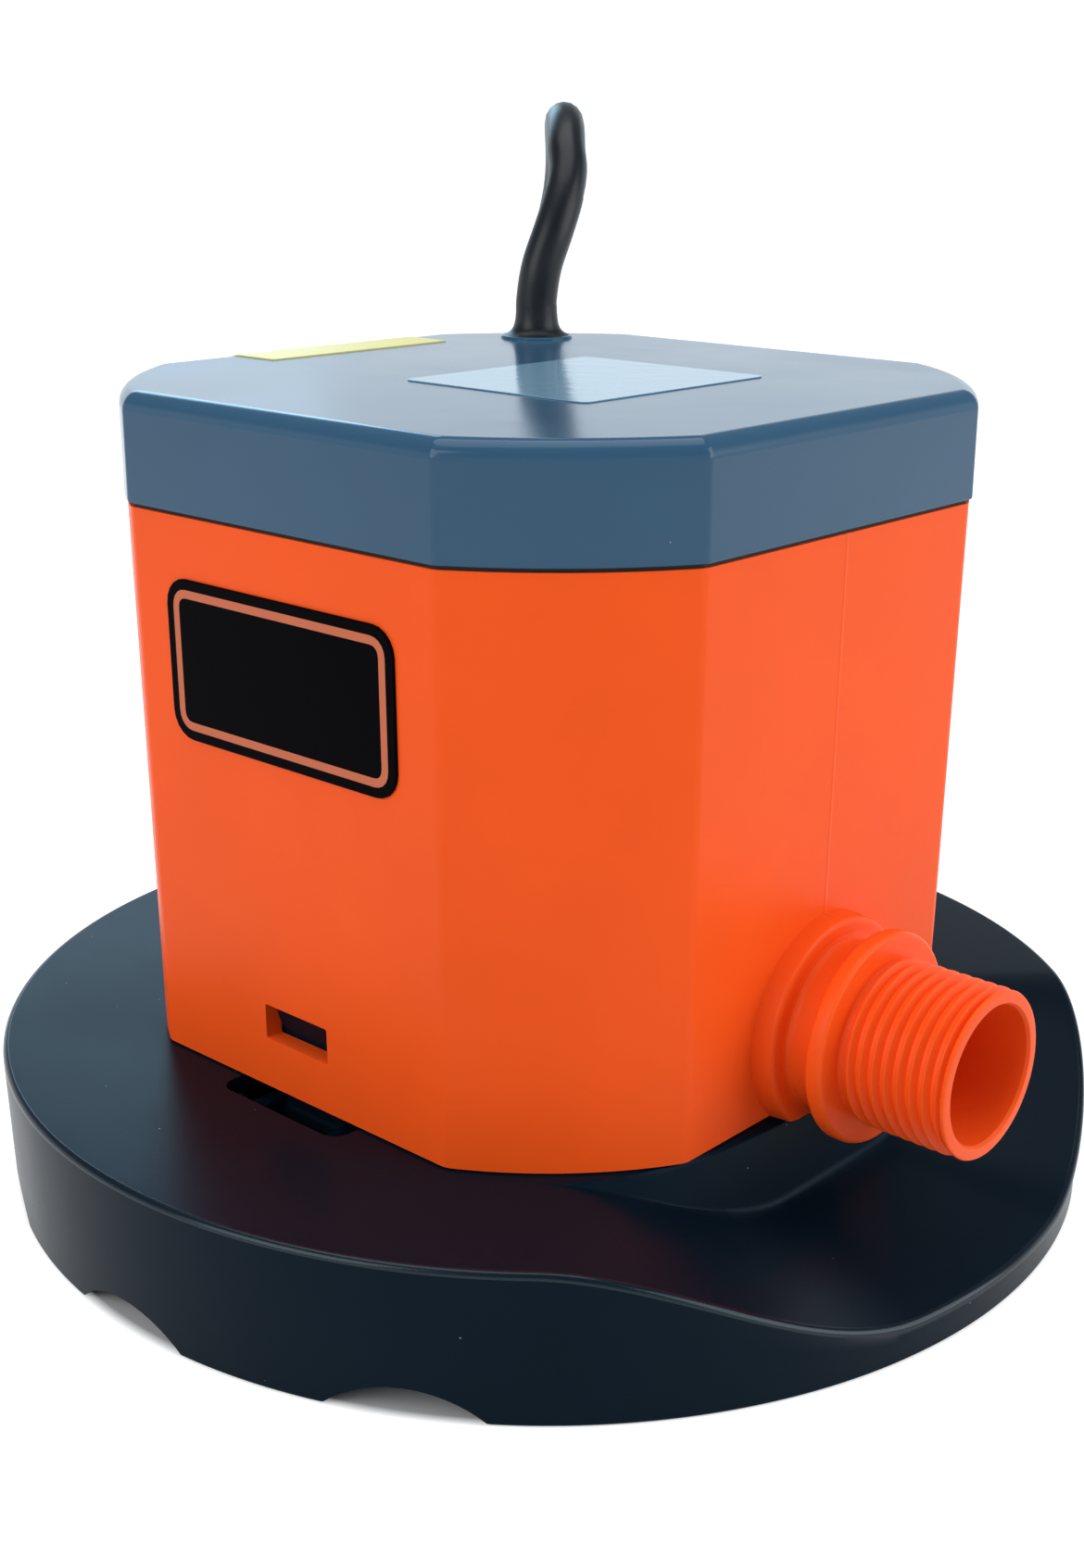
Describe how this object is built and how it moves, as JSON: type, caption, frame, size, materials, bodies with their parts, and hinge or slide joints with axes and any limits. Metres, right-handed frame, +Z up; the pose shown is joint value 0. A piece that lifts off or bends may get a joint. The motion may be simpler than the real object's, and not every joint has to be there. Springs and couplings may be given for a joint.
{
  "type": "submersible pump",
  "caption": "Compact submersible utility pump: square housing with screwed cap, threaded side outlet, wide round strainer base that unclips, and a coiled power cord with plug.",
  "frame": {"origin": "centre of the round base on the floor it stands on", "axes": "+X along the outlet, out of its mouth; +Z up; the blank front plate faces -Y"},
  "size_m": [0.2544, 0.3044, 0.1777],
  "materials": {
    "housing_plastic": "moulded orange plastic, satin gloss",
    "cap_plastic": "moulded slate blue plastic, glossy",
    "base_plastic": "moulded near-black plastic, satin",
    "strainer_plastic": "moulded dark grey plastic",
    "screw_steel": "stainless steel, bright",
    "cord_sheath": "black rubber-like sheath, satin",
    "plug_plastic": "black moulded plug",
    "pin_brass": "bright brass",
    "tie_plastic": "black plastic strap",
    "seal_rubber": "black rubber",
    "label_silver": "blank silver film, slightly glossy",
    "label_yellow": "blank pale yellow film",
    "plate_dark": "blank dark plate, glossy",
    "gland_rubber": "black rubber strain relief",
    "stator_steel": "varnished steel laminations",
    "winding_copper": "varnished copper wire",
    "bracket_aluminium": "cast aluminium",
    "bush_bronze": "sintered bronze",
    "seal_ceramic": "ceramic and carbon",
    "capacitor_case": "pale plastic case",
    "terminal_plastic": "cream plastic",
    "cutout_case": "brown phenolic",
    "wire_sheath": "coloured wire insulation",
    "shaft_steel": "ground steel",
    "rotor_steel": "rotor laminations",
    "impeller_plastic": "cream glass-filled plastic",
    "washer_plastic": "low-friction plastic"
  },
  "bodies": {
    "base": {"base_disc": "base_plastic", "strainer": "strainer_plastic", "strainer_screws": "screw_steel", "power_cord_tail": "cord_sheath", "power_cord_coil": "cord_sheath", "power_cord_end": "cord_sheath", "plug_body": "plug_plastic", "plug_pins": "pin_brass", "cord_tie": "tie_plastic"},
    "catch_front": {"catch_front": "base_plastic"},
    "catch_rear": {"catch_rear": "base_plastic"},
    "pump": {"housing": "housing_plastic", "top_cap": "cap_plastic", "cap_seal": "seal_rubber", "cap_screws": "screw_steel", "cable_gland": "gland_rubber", "gland_nut": "strainer_plastic", "power_cord_lead": "cord_sheath", "rating_label": "label_silver", "edge_label": "label_yellow", "face_plate": "plate_dark", "chamber_cover": "strainer_plastic", "chamber_seal": "seal_rubber", "cover_screws": "screw_steel", "stator_core": "stator_steel", "lower_winding": "winding_copper", "upper_winding": "winding_copper", "bearing_bracket": "bracket_aluminium", "motor_bolts": "screw_steel", "lower_bush": "bush_bronze", "upper_bush": "bush_bronze", "seal_seat": "seal_ceramic", "capacitor": "capacitor_case", "terminal_block": "terminal_plastic", "thermal_cutout": "cutout_case", "earth_screw": "pin_brass", "lead_wires": "wire_sheath"},
    "rotor": {"motor_shaft": "shaft_steel", "rotor_core": "rotor_steel", "seal_head": "seal_ceramic", "impeller": "impeller_plastic", "impeller_nut": "screw_steel", "thrust_washers": "washer_plastic"}
  },
  "joints": [
    {"name": "base_release", "type": "slide", "parent": "base", "child": "pump", "axis": [0, 0, 1], "range_m": [0, 0.016]},
    {"name": "catch_front_hinge", "type": "hinge", "parent": "base", "child": "catch_front", "pos_m": [0, -0.05425, 0.0198], "axis": [-1, 0, 0], "range_deg": [0, 17]},
    {"name": "catch_rear_hinge", "type": "hinge", "parent": "base", "child": "catch_rear", "pos_m": [0, 0.05425, 0.0198], "axis": [1, 0, 0], "range_deg": [0, 17]},
    {"name": "rotor_spin", "type": "hinge", "parent": "pump", "child": "rotor", "pos_m": [0, 0, 0.06], "axis": [0, 0, 1], "continuous": true}
  ],
  "couplings": [
    {"joint": "catch_front_hinge", "follows": "base_release", "rad_per_m": 17.453},
    {"joint": "catch_rear_hinge", "follows": "base_release", "rad_per_m": 17.453}
  ]
}
